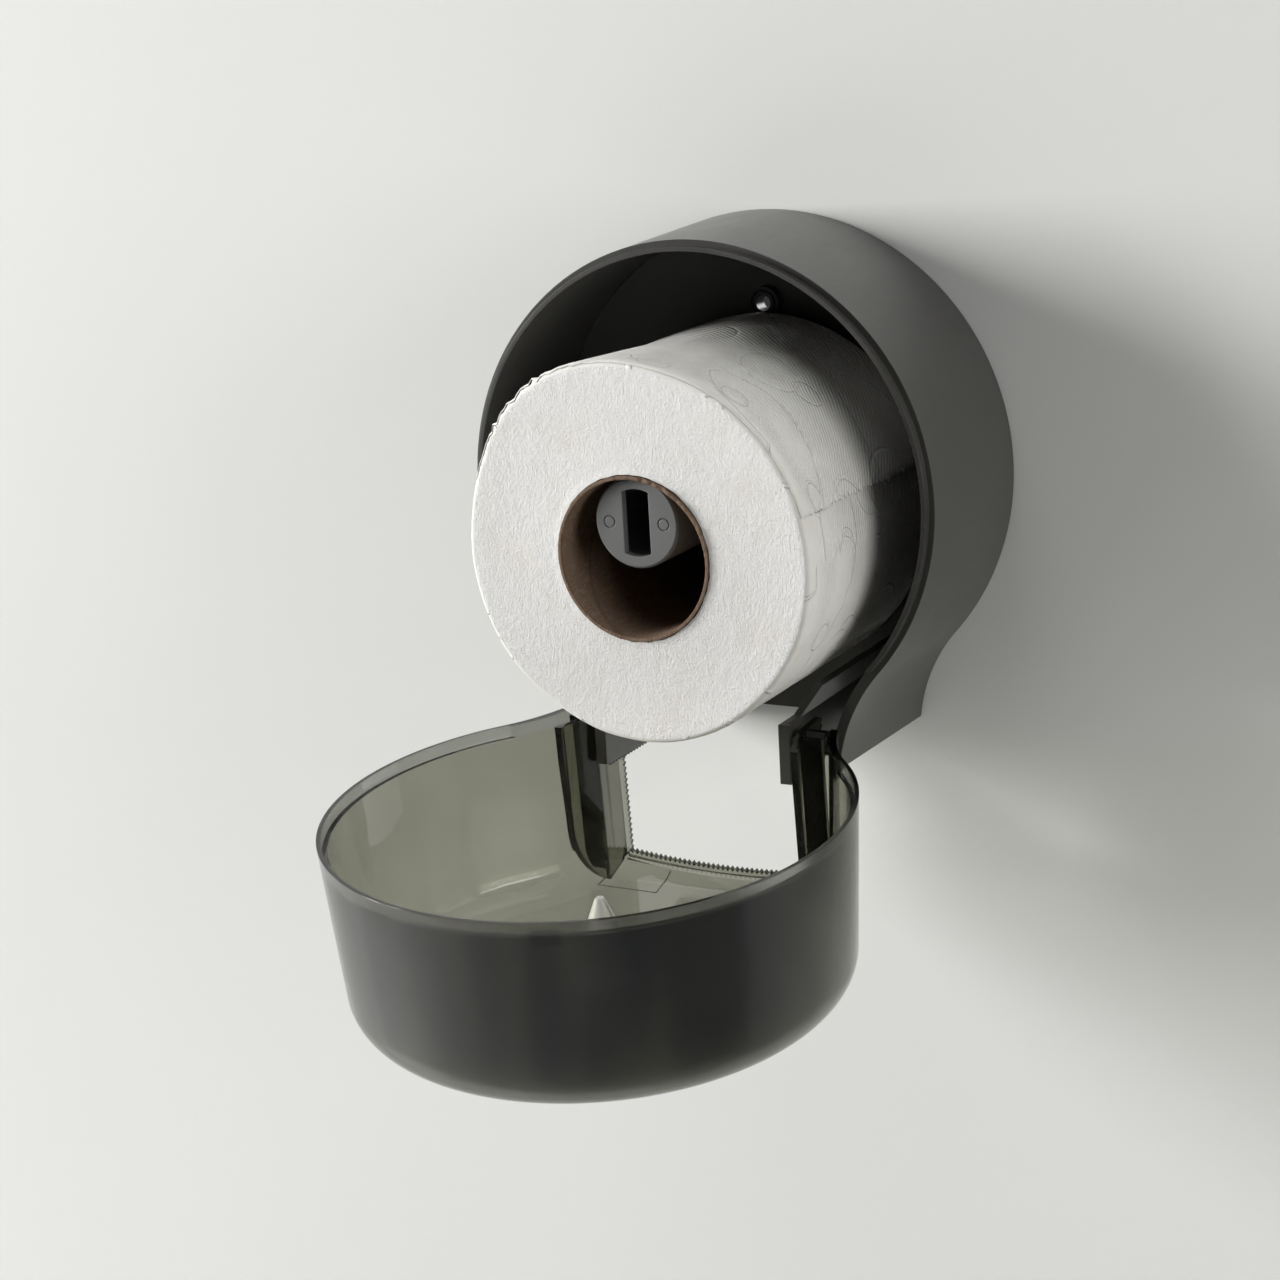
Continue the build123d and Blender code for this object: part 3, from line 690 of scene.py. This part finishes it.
def make_outer_sheet():
    """Last ply of the roll: it lies over the top and stands off near its torn end."""
    columns, rows = 150, 90
    # Degrees round the roll from the torn end back to where the ply leaves the roll
    tail, start = 15.0, 158.0

    def spot_of(r, c):
        along = r / (rows - 1)
        across = c / (columns - 1)
        y = ROLL_FRONT + 0.0005 + (ROLL_BACK - 0.0007 - ROLL_FRONT - 0.0005) * across ** 1.3
        fray = torn_edge(start + (tail - start) * (1 - along)) * max(0.0, 1 - across * 9)
        jag = 0.5 * rough(y, 0, 0, 900, 4.0) + 0.7 * rough(y, 0, 0, 160, 2.0)
        jag += 0.25 * (1 if int(y * 1000 / 1.6) % 2 else -1)
        degrees = tail + jag * (1 - along) ** 40 + (start - tail) * along
        turn = math.radians(degrees)
        back = min(1.0, max(0.0, (y + 0.052) / 0.04))
        back = back * back * (3 - 2 * back)
        lift = 0.0105 * back * bump_of(degrees, tail - 4, 46) + 0.0014 * back * bump_of(degrees, 88, 60)
        lift += 0.0004 * bump_of(degrees, tail, 12)
        puff = 0.0008 * bump_of(degrees, 60, 50) * (0.5 + rough(0, y, along, 20, 6.0)) * min(1.0, across * 4)
        puff += 0.0042 * back * bump_of(degrees, 86, 74)
        ease = min(1.0, (start - degrees) / 10)
        base = outer_radius(degrees, y) + fray + PLY
        stand = (0.0001 + lift + puff) * ease
        stand += 0.00025 * (1 + rough(degrees / 14, y * 45, 0, 1.0, 5.0)) * ease * min(1.0, across * 6)
        room = max(0.0004, CHUTE_REACH - base)
        radius = base + room * (1 - math.exp(-stand / room))
        short = max(0.0, RIM_ROUND - (y - ROLL_FRONT))
        radius -= RIM_ROUND - math.sqrt(RIM_ROUND ** 2 - short ** 2)
        return (math.cos(turn) * radius, y + fray * 0.6, math.sin(turn) * radius + ROLL_Z)

    def uv_of(r, c):
        return (0.3 + 0.13 * r / (rows - 1), ROLL_FRONT + (ROLL_BACK - ROLL_FRONT) * c / (columns - 1))

    made = grid_mesh("loose_outer_sheet", rows, columns, False, spot_of, uv_of, lambda r: 0, [tissue_side])
    add_thickness(made, PLY, 1.0)
    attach(made, "roll")


def make_core_fray():
    """Torn paper left round the end of the cardboard core."""
    columns, rows = 360, 5

    def spot_of(r, c):
        degrees = 360 * c / columns
        turn = math.radians(degrees)
        cx, cz = math.cos(turn), math.sin(turn)
        torn = bump_of(turn_gap(degrees, 62), 0, 75)
        edge = 0.0009 * torn * (0.5 + rough(cx, 0, cz, 14, 6.0)) + 0.0003 * rough(cx, 0, cz, 50, 1.0)
        share = r / (rows - 1)
        radius = CORE_RADIUS - 0.0001 - (0.0009 * share + 0.0003 * torn * share)
        y = CORE_FRONT - edge * (1 - abs(share - 0.4)) - 0.0002
        return (cx * radius, y, cz * radius + ROLL_Z)

    made = grid_mesh(
        "core_fray",
        rows,
        columns,
        True,
        spot_of,
        lambda r, c: (0.145 * c / columns, 0.001 * r),
        lambda r: 0,
        [core_board],
    )
    add_thickness(made, 0.00025, -1.0)
    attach(made, "roll")


make_wound_paper()
make_outer_sheet()
make_core_fray()


# ---------------------------------------------------------------- room
def plain_paint(name, colour):
    """Smooth painted wall, clear from behind so that the back of the object can be seen."""
    material, tree, shader = new_finish(name, Roughness=0.9, Specular_IOR_Level=0.2)
    spot = object_spot(tree)
    stipple = noise_of(tree, spot, 900.0, 3.0)
    add_relief(tree, shader, 0.08, 0.0004, stipple)
    cloud = noise_of(tree, spot, 2.2, 2.0)
    shade = tuple(c * 0.975 for c in colour[:3]) + (1,)
    tree.links.new(blend_colour(tree, cloud, colour, shade), shader.inputs["Base Color"])
    behind = tree.nodes.new("ShaderNodeNewGeometry").outputs["Backfacing"]
    clear = tree.nodes.new("ShaderNodeBsdfTransparent")
    mixed = place(tree, "ShaderNodeMixShader", {0: behind})
    tree.links.new(shader.outputs[0], mixed.inputs[1])
    tree.links.new(clear.outputs[0], mixed.inputs[2])
    tree.links.new(mixed.outputs[0], tree.nodes["Material Output"].inputs["Surface"])
    return material


def wall_outline():
    """Hole in the wall just inside the housing's back, so that light can reach the back from behind.

    A round drum runs down into legs that flare outwards on arcs and end in a flat foot.
    """
    inset = 0.0012
    drum_radius, flare_radius = 0.075, 0.05
    foot, drum, flare = -0.0762, drum_radius - inset, flare_radius + inset
    # Middle of the arc of the right leg
    flare_x, flare_z = 0.094, -0.0824
    low = math.pi - math.asin((foot - flare_z) / flare)
    high = math.atan2(-flare_z, -flare_x)
    right = []
    for i in range(9):
        turn = low + (high - low) * i / 8
        right.append((flare_x + flare * math.cos(turn), flare_z + flare * math.sin(turn)))
    outline = [right[0], (0.0, foot)] + [(-x, z) for x, z in right]
    start = math.atan2(flare_z, -flare_x) % (2 * math.pi)
    end = math.atan2(flare_z, flare_x)
    for i in range(1, 48):
        turn = start + (end - start) * i / 48
        outline.append((drum * math.cos(turn), drum * math.sin(turn)))
    return outline + right[:0:-1]


def make_room():
    """Wall that runs down through a cove into a plain floor far below."""
    width, top, bottom, cove = 4.0, 3.0, -1.0, 0.4
    wall_y, tiny = 0.0004, 1e-6
    points, faces = [], []
    outline = wall_outline()
    for x, z in outline:
        sides = [width / abs(x)] if abs(x) > tiny else []
        if z > tiny:
            sides.append(top / z)
        elif z < -tiny:
            sides.append(bottom / z)
        reach = min(sides)
        points.extend([(x, wall_y, z), (x * reach, wall_y, z * reach)])
    for i in range(len(outline)):
        j = (i + 1) % len(outline)
        first, second = points[2 * i + 1], points[2 * j + 1]
        face = [2 * i, 2 * j, 2 * j + 1, 2 * i + 1]
        if abs(first[0] - second[0]) > tiny and abs(first[2] - second[2]) > tiny:
            corner_z = top if first[2] > 0 else bottom
            corner = (math.copysign(width, first[0] + second[0]), wall_y, corner_z)
            face.insert(3, len(points))
            points.append(corner)
        faces.append(tuple(face))
    path = [(wall_y, bottom)]
    for i in range(1, 13):
        turn = math.pi / 2 * i / 12
        path.append((wall_y - cove * (1 - math.cos(turn)), bottom - cove * math.sin(turn)))
    path.append((-width, bottom - cove))
    start = len(points)
    for y, z in path:
        points.extend([(-width, y, z), (width, y, z)])
    for i in range(len(path) - 1):
        here = start + 2 * i
        faces.append((here, here + 2, here + 3, here + 1))
    mesh = bpy.data.meshes.new("backdrop")
    mesh.from_pydata(points, [], faces)
    mesh.materials.append(plain_paint("pale paint", (0.735, 0.74, 0.725, 1)))
    for face in mesh.polygons:
        face.use_smooth = True
    wall = bpy.data.objects.new("backdrop", mesh)
    bpy.context.scene.collection.objects.link(wall)


def make_lamp(name, spot, target, size, power, colour=(1, 1, 1)):
    """Soft square lamp aimed at a point."""
    data = bpy.data.lights.new(name, "AREA")
    data.shape = "SQUARE"
    data.size = size
    data.energy = power
    data.color = colour
    lamp = bpy.data.objects.new(name, data)
    lamp.location = spot
    lamp.rotation_mode = "QUATERNION"
    lamp.rotation_quaternion = (Vector(target) - Vector(spot)).to_track_quat("-Z", "Y")
    bpy.context.scene.collection.objects.link(lamp)


def make_world(level):
    world = bpy.data.worlds.new("soft room light")
    world.use_nodes = True
    sky = world.node_tree.nodes["Background"]
    sky.inputs["Color"].default_value = (0.94, 0.95, 0.96, 1)
    sky.inputs["Strength"].default_value = level
    bpy.context.scene.world = world


def make_camera():
    data = bpy.data.cameras.new("camera")
    data.sensor_width = 36.0
    data.lens = 68.743
    data.clip_start = 0.02
    camera = bpy.data.objects.new("camera", data)
    camera.location = (0.31291, -0.65888, 0.13996)
    camera.rotation_euler = tuple(math.radians(a) for a in (75.0597, 3.1886, 28.0688))
    bpy.context.scene.collection.objects.link(camera)
    bpy.context.scene.camera = camera


LAMP_TARGET = (0.0, -0.05, 0.0)
make_room()
make_lamp("key", (-2.75, -1.5, 0.5), LAMP_TARGET, 1.25, 134.0, (1.0, 0.995, 0.98))
make_lamp("side fill", (1.5, -0.55, 0.2), LAMP_TARGET, 0.8, 10.5, (1.0, 0.995, 0.97))
make_lamp("top fill", (-0.25, -0.6, 1.8), LAMP_TARGET, 1.0, 7.5)
make_lamp("behind", (0.7, 1.7, 0.8), (0.0, 0.0, -0.02), 1.2, 22.0)
make_world(0.035)
make_camera()
bpy.context.scene.view_settings.view_transform = "Standard"
